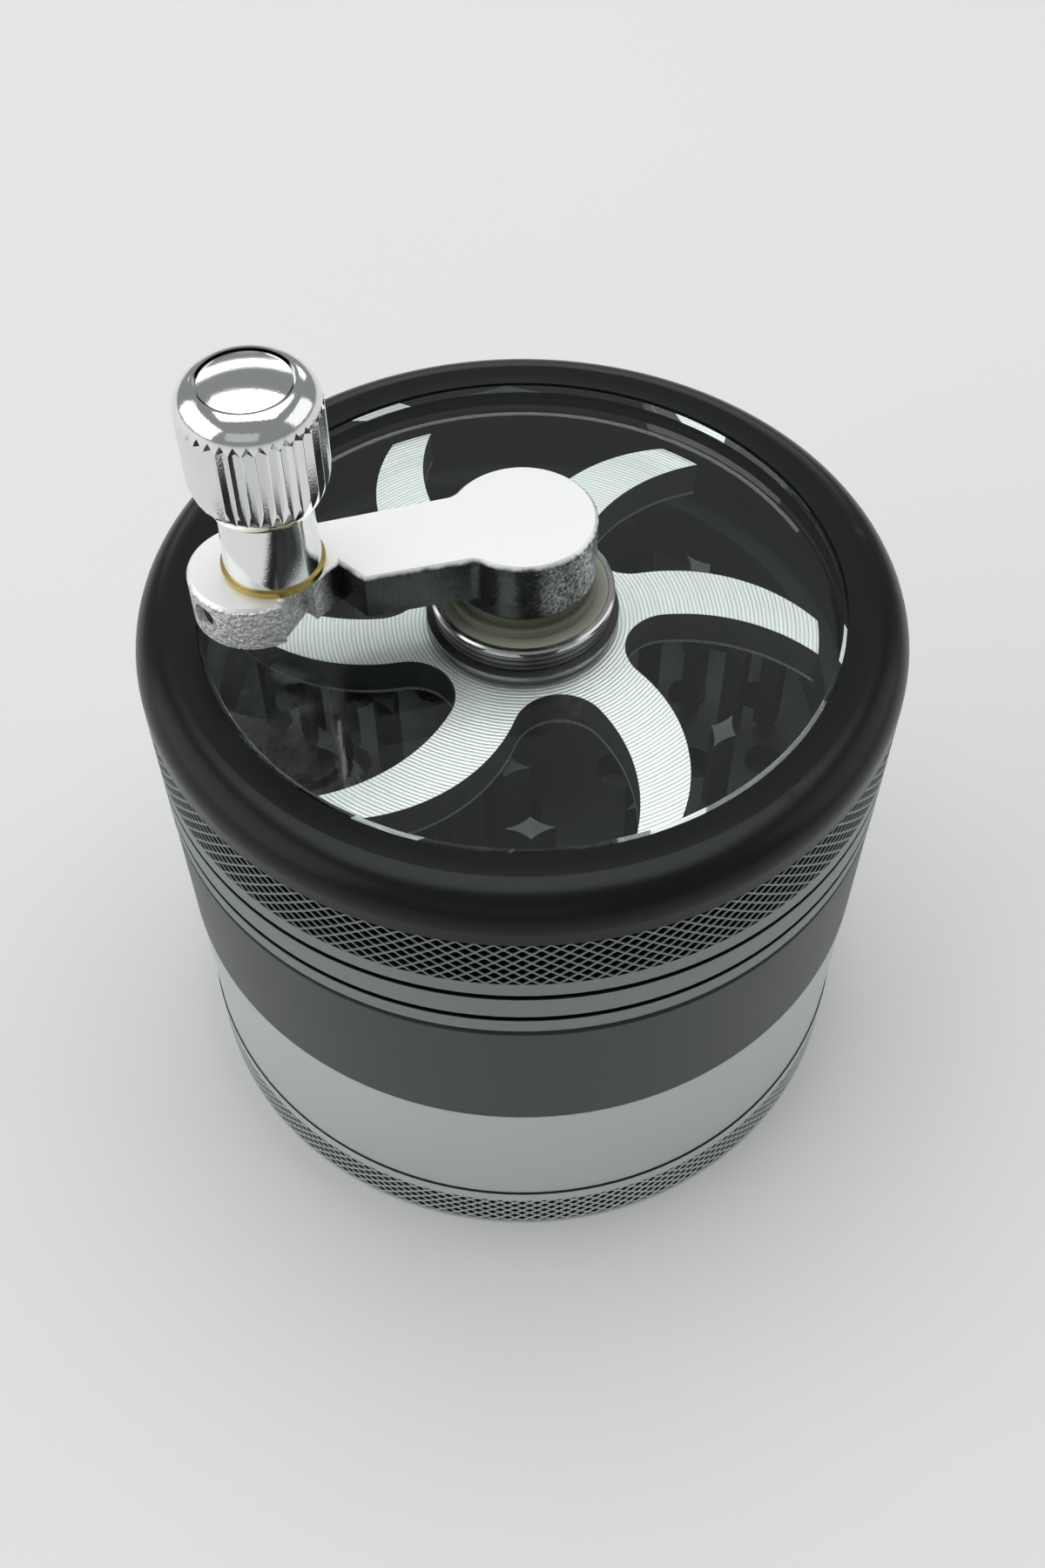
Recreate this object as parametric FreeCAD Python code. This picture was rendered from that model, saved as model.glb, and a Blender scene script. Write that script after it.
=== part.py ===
import FreeCAD, Part
import math
import os

# Hand-crank herb grinder in four screwed sections: base, collecting chamber, grinding chamber and lid.
# Millimetres. The origin is the centre of the underside, +Z up, and the front is towards -Y.

Vec = FreeCAD.Vector

# Sections, bottom to top
body_r = 31.5            # outer radius of the base and the lid
base_height = 6.3
collect_height = 15.1
grind_height = 14.0
lid_height = 17.1        # from its lower edge to the crest of the rim
collect_inset = 0.15     # the collecting chamber is a hair slimmer than the base
grind_inset = 0.05
edge_break = 0.15        # bevel along the joint lines
foot_bevel = 0.45        # bevel round the underside
base_floor = 1.6
tray_corner = 1.0        # round at the tray's inner corner

# Screwed necks: each section has a neck that goes into the bore of the next
section_wall = 2.85      # from the outer radius in to the bores
thread_clear = 0.3       # radial room that the thread takes up
neck_wall = 2.35
base_neck = 3.6          # length of the neck in the base
collect_neck = 3.8
lid_neck = 4.4
neck_end_room = 0.4

# Screen
screen_ledge = 2.0       # width of the ledge that carries the screen
screen_rise = 0.9        # ledge above the chamber's lower joint
screen_thick = 0.25
bowl_wall = 4.0
clip_groove = 0.3
clip_width = 1.1
clip_thick = 0.9
clip_split = 5.0         # open gap in the ring
piece_clear = 0.05       # between pieces that are pressed or clamped together

# Grinding floor
plate_thick = 3.0
floor_ledge = 1.2        # ledge in the chamber that carries the floor
plate_drop = 1.9         # floor's top below the joint with the lid
hole_r = 1.7
hole_counts = (6, 12, 18)

# Teeth stand in rings, by turns on the floor and under the cutter
tooth_ring_r = 12.4      # innermost ring
ring_step = 3.05
tooth_gap = 0.85         # between a fixed and a turning ring
tooth_half_length = 2.0
tooth_hollow = 0.22      # how far the four sides are hollowed
tooth_end_gap = 0.8
fixed_counts = (6, 12)
fixed_turn_deg = (24.0, 2.0)

# Lid
knurl_depth = 0.4        # the knurl's root below the outer surface
base_knurl = (0.55, 4.9)
lid_knurl = (7.5, 12.8)  # heights above the lid's lower edge
lid_grooves = (2.5, 5.6)
groove_width = 0.65
groove_depth = 0.4
rim_round = 3.0
rim_width = 5.2          # outer radius to the window opening
rim_drop = 0.2           # the rim's inner edge below its crest

# Window and what holds it
window_sink = 0.2        # window's face below the crest
window_thick = 3.4
window_step = 1.4        # wide lower part of the window, radially and in height
window_bevel = 0.3
window_clear = 0.1
window_ring_height = 1.9
window_ring_wall = 1.35

# Window clamp and bearing bush in the centre
clamp_rim_r = 7.5
clamp_rim_height = 0.5
clamp_rim_wall = 0.5
clamp_seat_depth = 0.8
clamp_neck_r = 7.3
clamp_thread_r = 6.2
clamp_nut_r = 7.9
clamp_nut_height = 0.9
nut_bevel = 0.3
bush_r = 5.3
bush_rise = 1.6          # bush above the clamp rim
bush_steps = (0.95, 1.5)  # radial widths of the two steps
run_clear = 0.05         # running fit

# Cutter
cutter_gap = 1.3         # cutter's face below the window
cutter_thick = 3.4
cutter_tip_gap = 1.7     # arm tips to the chamber's wall
arm_count = 6
arm_root_r = 13.0        # where the two edges of an arm are placed near the hub
lead_deg = (24.0, -1.2)  # direction of the leading edge at the root and at the tip
trail_deg = (1.5, -9.9)
lead_r = 14.4            # sweep of the two edges
trail_r = 15.0
crotch_r = 3.8
cut_over = 1.0           # how far the gaps are cut past the tips

# Spindle and the screw that holds the cutter
spindle_r = 4.0
tenon_side = 5.2
tenon_depth = 3.9        # in the crank hub
socket_clear = 0.04
cutter_washer_r = 4.6
cutter_washer_thick = 0.6
spindle_screw_r = 1.5
spindle_screw_depth = 7.0
screw_head_r = 2.8
screw_head_height = 1.6
screw_slot = (0.8, 0.7)  # width and depth

# Crank, a casting: hub, tapered bar, notched neck and eye
crank_deg = 195.0        # direction of the arm
hub_r = 5.9
hub_height = 5.8
hub_foot = 0.5           # bevel under the hub
hub_blend = 1.6          # hollow between the hub and the bar
hub_float = 0.1          # hub above the bush
bar_half = (3.85, 3.5)   # half width at the hub and at the eye
bar_thick = 4.0
crank_throw = 19.4       # spindle axis to knob axis
eye_r = 4.85
eye_offset = 1.75        # the eye's round end beyond the knob axis
cast_edge = 0.3          # bevel of the casting's edges
notch_outer = ((13.1, 3.7), (14.75, 1.3), (17.0, 2.9))
notch_inner = ((17.0, 2.9), (17.6, 1.9), (19.6, 4.25))
notch_reach = 6.0

# Knob on its pin
pin_r = 1.75
stem_r = 3.75
stem_top_r = 3.5
stem_height = 6.2
washer_r = 3.95
washer_thick = 0.5
knob_r = 5.2
knob_foot_r = 4.2
knob_foot_height = 2.6
knob_height = 10.1
knob_shoulder = 1.5      # width of the round shoulder
shoulder_height = 2.2
knob_float = 0.1
flute_count = 36
flute_depth = 0.42
flute_stop = 1.3         # flutes' ends below the knob's top
flute_fade = 1.1         # length over which they run out
flute_over = 0.05        # how far they come clear of the surface
cap_gap = 0.2            # between the pin's domed head and the knob
cap_seat_depth = 1.7
cap_wall = 1.7          # knob's outer radius to the head's recess
cap_sink = 0.15          # edge of the dome below the knob's top
dome_height = 0.55
grub_r = 1.15
grub_sink = 0.35
grub_deg = 23.0          # from the arm's direction
grub_hex = 1.3           # across flats
grub_hex_depth = 0.9

# Radii that follow
bore_r = body_r - section_wall
neck_r = bore_r - thread_clear
well_r = neck_r - neck_wall
collect_r = body_r - collect_inset
grind_r = body_r - grind_inset
knurl_root_r = body_r - knurl_depth
bowl_r = collect_r - bowl_wall
clip_seat_r = bowl_r + clip_groove
ledge_r = bowl_r - screen_ledge
opening_r = body_r - rim_width
window_r = opening_r - window_clear
window_wide_r = window_r + window_step
lid_bore_r = window_wide_r + window_clear
crest_r = body_r - rim_round
cutter_r = well_r - cutter_tip_gap
tooth_half_width = (ring_step - tooth_gap) / 2
fixed_rings = (tooth_ring_r, tooth_ring_r + 2 * ring_step)
cutter_rings = (tooth_ring_r + ring_step, tooth_ring_r + 3 * ring_step)
hole_rings = (tooth_ring_r - ring_step, tooth_ring_r + ring_step, tooth_ring_r + 3 * ring_step)
bush_bore_r = spindle_r + run_clear
cap_r = knob_r - cap_wall - cap_gap

# Heights that follow
collect_z = base_height
grind_z = collect_z + collect_height
lid_z = grind_z + grind_height
crest_z = lid_z + lid_height
screen_z = collect_z + screen_rise
plate_z = lid_z - plate_drop
window_top_z = crest_z - window_sink
window_z = window_top_z - window_thick
window_step_z = window_z + window_step
window_ring_z = window_z - window_ring_height
cutter_top_z = window_z - cutter_gap
cutter_z = cutter_top_z - cutter_thick
clamp_top_z = window_top_z + clamp_rim_height
clamp_seat_z = clamp_top_z - clamp_seat_depth
clamp_nut_z = window_z - clamp_nut_height
bush_top_z = clamp_top_z + bush_rise
hub_z = bush_top_z + hub_float
crank_top_z = hub_z + hub_height
bar_z = crank_top_z - bar_thick
stem_z = crank_top_z + washer_thick
stem_top_z = stem_z + stem_height
knob_z = stem_top_z + knob_float
knob_top_z = knob_z + knob_height
cap_seat_z = knob_top_z - cap_seat_depth

spin_axis = Vec(0, 0, 1)
near_enough = 1e-6       # when edges are picked by their place
upright_deg = 90.0


def at_polar(radius, degrees, z=0.0):
    a = math.radians(degrees)
    return Vec(radius * math.cos(a), radius * math.sin(a), z)


def turned(profile):
    """Revolve a closed (radius, height) outline about Z; a nested pair is an arc's middle and end."""
    start = Vec(profile[0][0], 0, profile[0][1])
    edges = []
    here = start
    for step in list(profile[1:]) + [profile[0]]:
        if isinstance(step[0], tuple):
            middle, end = (Vec(r, 0, z) for r, z in step)
            edges.append(Part.Arc(here, middle, end).toShape())
        else:
            end = Vec(step[0], 0, step[1])
            edges.append(Part.LineSegment(here, end).toShape())
        here = end
    return Part.Face(Part.Wire(edges)).revolve(Vec(), spin_axis, 360)


def tube(outer_r, inner_r, z, height):
    return turned([(inner_r, z), (outer_r, z), (outer_r, z + height), (inner_r, z + height)])


def rod(radius, z, height, centre=Vec()):
    return Part.makeCylinder(radius, height, centre + Vec(0, 0, z))


def square_bar(side, z, height):
    return Part.makeBox(side, side, height, Vec(-side / 2, -side / 2, z))


def quarter_mid(centre, radius, degrees):
    """Middle point of an arc in a (radius, height) outline."""
    a = math.radians(degrees)
    return (centre[0] + radius * math.cos(a), centre[1] + radius * math.sin(a))


def base_cup():
    low, high = base_knurl
    corner = (bore_r - tray_corner, base_floor + tray_corner)
    return turned([
        (0, 0), (body_r - foot_bevel, 0), (body_r, foot_bevel),
        (body_r, low), (knurl_root_r, low), (knurl_root_r, high), (body_r, high),
        (body_r, collect_z - edge_break), (body_r - edge_break, collect_z),
        (bore_r, collect_z), (bore_r, corner[1]),
        (quarter_mid(corner, tray_corner, -45), (corner[0], base_floor)),
        (0, base_floor)])


def collecting_chamber():
    neck_z = collect_z - base_neck
    bore_z = grind_z - collect_neck - neck_end_room
    groove_z = screen_z + screen_thick + clip_thick + piece_clear
    return turned([
        (ledge_r, neck_z), (neck_r - edge_break, neck_z), (neck_r, neck_z + edge_break),
        (neck_r, collect_z), (collect_r - edge_break, collect_z), (collect_r, collect_z + edge_break),
        (collect_r, grind_z - edge_break), (collect_r - edge_break, grind_z),
        (bore_r, grind_z), (bore_r, bore_z), (bowl_r, bore_z - (bore_r - bowl_r)),
        (bowl_r, groove_z + clip_groove), (clip_seat_r, groove_z), (clip_seat_r, screen_z),
        (ledge_r, screen_z)])


def screen_mesh():
    return rod(clip_seat_r - piece_clear, screen_z, screen_thick)


def screen_clip_ring():
    """A flat sprung ring, split so that it can be squeezed into its groove."""
    outer_r = clip_seat_r - piece_clear
    ring = tube(outer_r, outer_r - clip_width, screen_z + screen_thick, clip_thick)
    split = 2 * clip_width
    return ring.cut(Part.makeBox(clip_split, split, clip_thick, Vec(
        -clip_split / 2, outer_r - 1.5 * clip_width, screen_z + screen_thick)))


def tooth(radius, degrees, z, height):
    """A four-pointed tooth with hollowed sides, long way round the ring."""
    points = [Vec(tooth_half_width, 0, 0), Vec(0, tooth_half_length, 0),
              Vec(-tooth_half_width, 0, 0), Vec(0, -tooth_half_length, 0)]
    edges = []
    for here, there in zip(points, points[1:] + points[:1]):
        middle = (here + there) * 0.5
        inward = middle * (1 - tooth_hollow / middle.Length)
        edges.append(Part.Arc(here, inward, there).toShape())
    solid = Part.Face(Part.Wire(edges)).extrude(Vec(0, 0, height))
    solid.translate(Vec(radius, 0, z))
    solid.rotate(Vec(), spin_axis, degrees)
    return solid


def drop_holes():
    holes = []
    for radius, count in zip(hole_rings, hole_counts):
        for i in range(count):
            centre = at_polar(radius, 360 * (i + 0.5) / count)
            holes.append(rod(hole_r, plate_z - 2 * plate_thick, 3 * plate_thick, centre))
    return holes


def grinding_chamber():
    neck_z = grind_z - collect_neck
    top_z = lid_z + lid_neck
    ledge_z = plate_z - plate_thick
    throat_r = well_r - floor_ledge
    return turned([
        (throat_r, neck_z), (neck_r - edge_break, neck_z), (neck_r, neck_z + edge_break),
        (neck_r, grind_z), (grind_r - edge_break, grind_z), (grind_r, grind_z + edge_break),
        (grind_r, lid_z - edge_break), (grind_r - edge_break, lid_z),
        (neck_r, lid_z), (neck_r, top_z - edge_break), (neck_r - edge_break, top_z),
        (well_r, top_z), (well_r, ledge_z), (throat_r, ledge_z)])


def grinding_floor():
    plate = rod(well_r - piece_clear, plate_z - plate_thick, plate_thick)
    return plate.cut(drop_holes())


def fixed_teeth():
    height = cutter_z - tooth_end_gap - plate_z
    teeth = []
    for radius, count, turn in zip(fixed_rings, fixed_counts, fixed_turn_deg):
        teeth += [tooth(radius, turn + 360 * i / count, plate_z, height) for i in range(count)]
    return Part.makeCompound(teeth)


def lid_ring():
    low, high = (lid_z + h for h in lid_knurl)
    outer = [(bore_r, lid_z), (body_r - edge_break, lid_z), (body_r, lid_z + edge_break)]
    for height in lid_grooves:
        floor_r = body_r - groove_depth
        bottom = lid_z + height - groove_width / 2
        top = bottom + groove_width
        outer += [(body_r, bottom), (floor_r, bottom), (floor_r, top), (body_r, top)]
    outer += [(body_r, low), (knurl_root_r, low), (knurl_root_r, high), (body_r, high)]
    round_centre = (crest_r, crest_z - rim_round)
    lip = (opening_r, crest_z - rim_drop)
    lip_mid = ((crest_r + opening_r) / 2, crest_z - rim_drop / 4)
    rim = [(body_r, round_centre[1]), (quarter_mid(round_centre, rim_round, 45), (crest_r, crest_z)),
           (lip_mid, lip), (opening_r, window_step_z + window_clear)]
    bore_top_z = lid_z + lid_neck + neck_end_room
    inner = [(lid_bore_r, window_step_z + window_clear), (lid_bore_r, bore_top_z), (bore_r, bore_top_z)]
    return turned(outer + rim + inner)


def window():
    hole_r_centre = clamp_neck_r + piece_clear
    return turned([
        (hole_r_centre, window_z), (window_wide_r, window_z), (window_wide_r, window_step_z),
        (window_r, window_step_z), (window_r, window_top_z - window_bevel),
        (window_r - window_bevel, window_top_z), (hole_r_centre, window_top_z)])


def window_ring():
    outer_r = lid_bore_r - piece_clear
    return tube(outer_r, outer_r - window_ring_wall, window_ring_z, window_ring_height)


def clamp_collar():
    """Upper half of the window clamp: a thin rim on the window, a neck through it and a thread below."""
    bore = bush_r + piece_clear
    seat_r = clamp_rim_r - clamp_rim_wall
    return turned([
        (bore, clamp_nut_z), (clamp_thread_r, clamp_nut_z), (clamp_thread_r, window_z),
        (clamp_neck_r, window_z), (clamp_neck_r, window_top_z),
        (clamp_rim_r, window_top_z), (clamp_rim_r, clamp_top_z - edge_break),
        (clamp_rim_r - edge_break, clamp_top_z),
        (seat_r, clamp_top_z), (seat_r, clamp_seat_z), (bore, clamp_seat_z)])


def clamp_nut():
    inner_r = clamp_thread_r + piece_clear
    return turned([
        (inner_r, clamp_nut_z), (clamp_nut_r - nut_bevel, clamp_nut_z),
        (clamp_nut_r, clamp_nut_z + nut_bevel), (clamp_nut_r, window_z), (inner_r, window_z)])


def nylon_bush():
    flange_r = clamp_rim_r - clamp_rim_wall - piece_clear
    step_z = clamp_top_z + bush_rise / 2
    first_r, second_r = (flange_r - width for width in bush_steps)
    return turned([
        (bush_bore_r, clamp_nut_z), (bush_r, clamp_nut_z), (bush_r, clamp_seat_z),
        (flange_r, clamp_seat_z), (flange_r, clamp_top_z), (first_r, clamp_top_z),
        (first_r, step_z), (second_r, step_z), (second_r, bush_top_z), (bush_bore_r, bush_top_z)])


def edge_centre(degrees, sweep_r):
    """Centre of an arm's edge arc, from its root and tip."""
    root = at_polar(arm_root_r, degrees[0])
    tip = at_polar(cutter_r, degrees[1])
    chord = tip - root
    sag = math.sqrt(sweep_r ** 2 - chord.Length ** 2 / 4)
    return (root + tip) * 0.5 + Vec(chord.y, -chord.x, 0) * (sag / chord.Length)


def point_on(centre, radius, other_r):
    """Where an arm's edge arc meets the circle of other_r about the axis, on the outer side."""
    d = centre.Length
    along = (d * d + other_r * other_r - radius * radius) / (2 * d)
    across = math.sqrt(other_r * other_r - along * along)
    unit = centre * (1 / d)
    return unit * along + Vec(-unit.y, unit.x, 0) * across


def arc_about(centre, here, there):
    """The shorter arc about a centre between two points."""
    out = (here - centre) + (there - centre)
    middle = centre + out * ((here - centre).Length / out.Length)
    return Part.Arc(here, middle, there).toShape()


def cutter_gap_face():
    """Plan of the gap between two arms: trailing edge, round crotch, next arm's leading edge."""
    reach = cutter_r + cut_over
    trail = edge_centre(trail_deg, trail_r)
    turn = FreeCAD.Rotation(spin_axis, -360 / arm_count)
    lead = turn.multVec(edge_centre(lead_deg, lead_r))
    trail_reach = trail_r - crotch_r
    lead_reach = lead_r + crotch_r
    base = trail - lead
    along = (lead_reach ** 2 - trail_reach ** 2 + base.Length ** 2) / (2 * base.Length)
    across = math.sqrt(lead_reach ** 2 - along ** 2)
    unit = base * (1 / base.Length)
    crotch = lead + unit * along + Vec(-unit.y, unit.x, 0) * across
    trail_touch = trail + (crotch - trail) * (trail_r / trail_reach)
    lead_touch = lead + (crotch - lead) * (lead_r / lead_reach)
    trail_end = point_on(trail, trail_r, reach)
    lead_end = turn.multVec(point_on(edge_centre(lead_deg, lead_r), lead_r, reach))
    edges = [arc_about(trail, trail_end, trail_touch), arc_about(crotch, trail_touch, lead_touch),
             arc_about(lead, lead_touch, lead_end), arc_about(Vec(), lead_end, trail_end)]
    return Part.Face(Part.Wire(edges))


def arm_middle_deg(radius):
    """Direction of an arm's middle at a radius."""
    sides = [point_on(edge_centre(lead_deg, lead_r), lead_r, radius),
             point_on(edge_centre(trail_deg, trail_r), trail_r, radius)]
    return sum(math.degrees(math.atan2(p.y, p.x)) for p in sides) / 2


def cutter():
    disc = rod(cutter_r, cutter_z, cutter_thick)
    gap = cutter_gap_face().extrude(Vec(0, 0, cutter_thick))
    gap.translate(Vec(0, 0, cutter_z))
    gaps = [gap.copy().rotate(Vec(), spin_axis, 360 * i / arm_count) for i in range(arm_count)]
    socket = square_bar(tenon_side + 2 * socket_clear, cutter_z, cutter_thick)
    return disc.cut(gaps + [socket])


def cutter_teeth():
    """Two teeth hang under each arm and pass between the rings of the floor."""
    foot_z = plate_z + tooth_end_gap
    teeth = []
    for i in range(arm_count):
        turn = 360 * i / arm_count
        teeth += [tooth(r, arm_middle_deg(r) + turn, foot_z, cutter_z - foot_z) for r in cutter_rings]
    return Part.makeCompound(teeth)


def drive_spindle():
    foot = square_bar(tenon_side, cutter_z, cutter_thick)
    shaft = rod(spindle_r, cutter_top_z, hub_z - cutter_top_z)
    head = square_bar(tenon_side, hub_z, tenon_depth)
    tapped = rod(spindle_screw_r + piece_clear, cutter_z, spindle_screw_depth + neck_end_room)
    return shaft.fuse([foot, head]).removeSplitter().cut(tapped)


def cutter_washer():
    return tube(cutter_washer_r, spindle_screw_r + piece_clear, cutter_z - cutter_washer_thick,
                cutter_washer_thick)


def spindle_screw():
    head_top_z = cutter_z - cutter_washer_thick
    head_z = head_top_z - screw_head_height
    body = turned([
        (0, head_z), (screw_head_r - edge_break, head_z), (screw_head_r, head_z + edge_break),
        (screw_head_r, head_top_z), (spindle_screw_r, head_top_z),
        (spindle_screw_r, cutter_z + spindle_screw_depth), (0, cutter_z + spindle_screw_depth)])
    width, depth = screw_slot
    return body.cut(Part.makeBox(2 * screw_head_r, width, depth, Vec(-screw_head_r, -width / 2, head_z)))


def prism(points, z, height):
    outline = [Vec(x, y, z) for x, y in points]
    return Part.Face(Part.makePolygon(outline + outline[:1])).extrude(Vec(0, 0, height))


def notch(corners):
    """A V cut in the front edge of the crank's neck, open towards the front."""
    (s0, lat0), root, (s1, lat1) = corners
    return prism([(s0, lat0), root, (s1, lat1), (s1, notch_reach), (s0, notch_reach)], bar_z, bar_thick)


def bevelled(solid, heights):
    """Bevel the edges that lie flat at the given heights."""
    flat = [e for e in solid.Edges
            if any(abs(v.Z - z) < near_enough for z in heights for v in e.Vertexes[:1])
            and abs(e.BoundBox.ZLength) < near_enough]
    return solid.makeChamfer(cast_edge, flat)


def hollowed(solid):
    """Round out the two upright corners where the bar runs into the hub."""
    corners = [e for e in solid.Edges
               if abs(e.BoundBox.ZLength - bar_thick) < near_enough
               and all(abs(math.hypot(v.X, v.Y) - hub_r) < near_enough and v.X > 0 for v in e.Vertexes)]
    return solid.makeFillet(hub_blend, corners)


def along_arm(solid):
    solid.rotate(Vec(), spin_axis, crank_deg)
    return solid


def crank_arm():
    """Made along +X with the front edge towards +Y, then turned to the arm's direction."""
    near, far = bar_half
    eye_s = crank_throw + eye_offset
    bar = prism([(0, -near), (eye_s, -far), (eye_s, far), (0, near)], bar_z, bar_thick)
    eye = rod(eye_r, bar_z, bar_thick, Vec(eye_s, 0, 0))
    hub = turned([(0, hub_z), (hub_r - hub_foot, hub_z), (hub_r, hub_z + hub_foot),
                  (hub_r, crank_top_z), (0, crank_top_z)])
    arm = bar.fuse(eye).cut([notch(notch_outer), notch(notch_inner)])
    arm = hollowed(arm.fuse(hub).removeSplitter())
    arm = bevelled(arm, [crank_top_z])
    pin_hole = rod(pin_r + piece_clear, bar_z, bar_thick, Vec(crank_throw, 0, 0))
    socket = square_bar(tenon_side + 2 * socket_clear, hub_z, tenon_depth + neck_end_room)
    screw_hole = grub_bar(grub_r + piece_clear, 0, 3 * eye_r)
    return along_arm(arm.cut([pin_hole, screw_hole])).cut(socket)


def grub_bar(radius, start, length):
    """A round bar from the knob's axis out through the eye's wall, where the grub screw sits."""
    out = at_polar(1, grub_deg)
    middle = Vec(crank_throw, 0, bar_z + bar_thick / 2)
    return Part.makeCylinder(radius, length, middle + out * start, out)


def grub_screw():
    out = at_polar(1, grub_deg)
    c = eye_offset * math.cos(math.radians(grub_deg))
    wall = c + math.sqrt(eye_r ** 2 - eye_offset ** 2 + c ** 2)
    start = pin_r + piece_clear
    body = grub_bar(grub_r, start, wall - grub_sink - start)
    corners = [at_polar(grub_hex / math.sqrt(3), 60 * i) for i in range(7)]
    key = Part.Face(Part.makePolygon(corners)).extrude(Vec(0, 0, grub_hex_depth))
    key.Placement = FreeCAD.Placement(
        Vec(crank_throw, 0, bar_z + bar_thick / 2) + out * (wall - grub_sink - grub_hex_depth),
        FreeCAD.Rotation(spin_axis, out))
    return along_arm(body.cut(key))


def on_knob_axis(solid):
    solid.translate(Vec(crank_throw, 0, 0))
    return along_arm(solid)


def stem_washer():
    return on_knob_axis(tube(washer_r, pin_r + piece_clear, crank_top_z, washer_thick))


def knob_stem():
    return on_knob_axis(turned([
        (pin_r + piece_clear, stem_z), (stem_r, stem_z), (stem_top_r, stem_top_z - edge_break),
        (stem_top_r - edge_break, stem_top_z), (pin_r + piece_clear, stem_top_z)]))


def knob_pin():
    head_z = cap_seat_z + knob_float
    edge_z = knob_top_z - cap_sink
    dome_r = (cap_r ** 2 + dome_height ** 2) / (2 * dome_height)
    half = math.degrees(math.asin(cap_r / dome_r)) / 2
    middle = quarter_mid((0, edge_z + dome_height - dome_r), dome_r, upright_deg - half)
    return on_knob_axis(turned([
        (0, bar_z), (pin_r, bar_z), (pin_r, head_z), (cap_r, head_z), (cap_r, edge_z),
        (middle, (0, edge_z + dome_height))]))


def flute_section(z, out):
    """Outline of a V flute at a height, moved outwards by a distance."""
    half = math.pi * knob_r / flute_count
    corners = [Vec(knob_r - flute_depth + out, 0, z), Vec(knob_r + flute_depth + out, -2 * half, z),
               Vec(knob_r + flute_depth + out, 2 * half, z)]
    return Part.makePolygon(corners + corners[:1])


def knob():
    """Round shoulder, drawn-in foot and V flutes that run out to points below the shoulder."""
    shoulder_z = knob_top_z - shoulder_height
    sweep = (knob_shoulder ** 2 + shoulder_height ** 2) / (2 * knob_shoulder)
    half = math.degrees(math.asin(shoulder_height / sweep)) / 2
    shoulder_mid = quarter_mid((knob_r - sweep, shoulder_z), sweep, half)
    recess_r = cap_r + cap_gap
    foot_mid = (knob_r - (knob_r - knob_foot_r) * 0.3, knob_z + knob_foot_height / 2)
    body = turned([
        (pin_r + run_clear, knob_z), (knob_foot_r, knob_z), (foot_mid, (knob_r, knob_z + knob_foot_height)),
        (knob_r, shoulder_z), (shoulder_mid, (knob_r - knob_shoulder, knob_top_z)),
        (recess_r, knob_top_z), (recess_r, cap_seat_z), (pin_r + run_clear, cap_seat_z)])
    stop_z = knob_top_z - flute_stop
    flute = Part.makeLoft([flute_section(knob_z, 0), flute_section(stop_z - flute_fade, 0),
                           flute_section(stop_z, flute_depth + flute_over)], True, True)
    flutes = [flute.copy().rotate(Vec(), spin_axis, 360 * i / flute_count) for i in range(flute_count)]
    return on_knob_axis(body.cut(flutes))


nodes = [base_cup,
         collecting_chamber, screen_mesh, screen_clip_ring,
         grinding_chamber, grinding_floor, fixed_teeth,
         lid_ring, window, window_ring, clamp_collar, clamp_nut, nylon_bush,
         cutter, cutter_teeth, drive_spindle, cutter_washer, spindle_screw, crank_arm, grub_screw,
         stem_washer, knob_stem, knob_pin, knob]

os.makedirs("parts", exist_ok=True)
for make in nodes:
    shape = make()
    shape.exportStep("parts/%s.step" % make.__name__)
    print("%-20s solids %d  volume %.1f  valid %s" % (
        make.__name__, len(shape.Solids), shape.Volume, shape.isValid()))
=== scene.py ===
import math
import bmesh
import bpy
import numpy as np
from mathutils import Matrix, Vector


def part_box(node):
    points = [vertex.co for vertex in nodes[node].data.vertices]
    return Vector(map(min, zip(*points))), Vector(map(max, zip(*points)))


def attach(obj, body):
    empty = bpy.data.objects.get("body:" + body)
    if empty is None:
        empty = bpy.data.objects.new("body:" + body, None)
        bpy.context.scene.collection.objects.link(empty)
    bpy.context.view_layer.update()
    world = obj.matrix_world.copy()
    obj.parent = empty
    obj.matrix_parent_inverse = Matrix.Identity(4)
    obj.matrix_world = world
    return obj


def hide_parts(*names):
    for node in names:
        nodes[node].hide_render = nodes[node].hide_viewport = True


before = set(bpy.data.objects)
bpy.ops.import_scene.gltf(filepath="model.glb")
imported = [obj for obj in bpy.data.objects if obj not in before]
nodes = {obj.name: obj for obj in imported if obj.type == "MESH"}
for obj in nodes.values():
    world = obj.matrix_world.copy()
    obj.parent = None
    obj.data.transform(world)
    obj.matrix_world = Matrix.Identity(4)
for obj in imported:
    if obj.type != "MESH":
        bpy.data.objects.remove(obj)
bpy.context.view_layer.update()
mmPerMetre = 1000.0
print("frame loaded:", len(nodes), "nodes")


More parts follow.
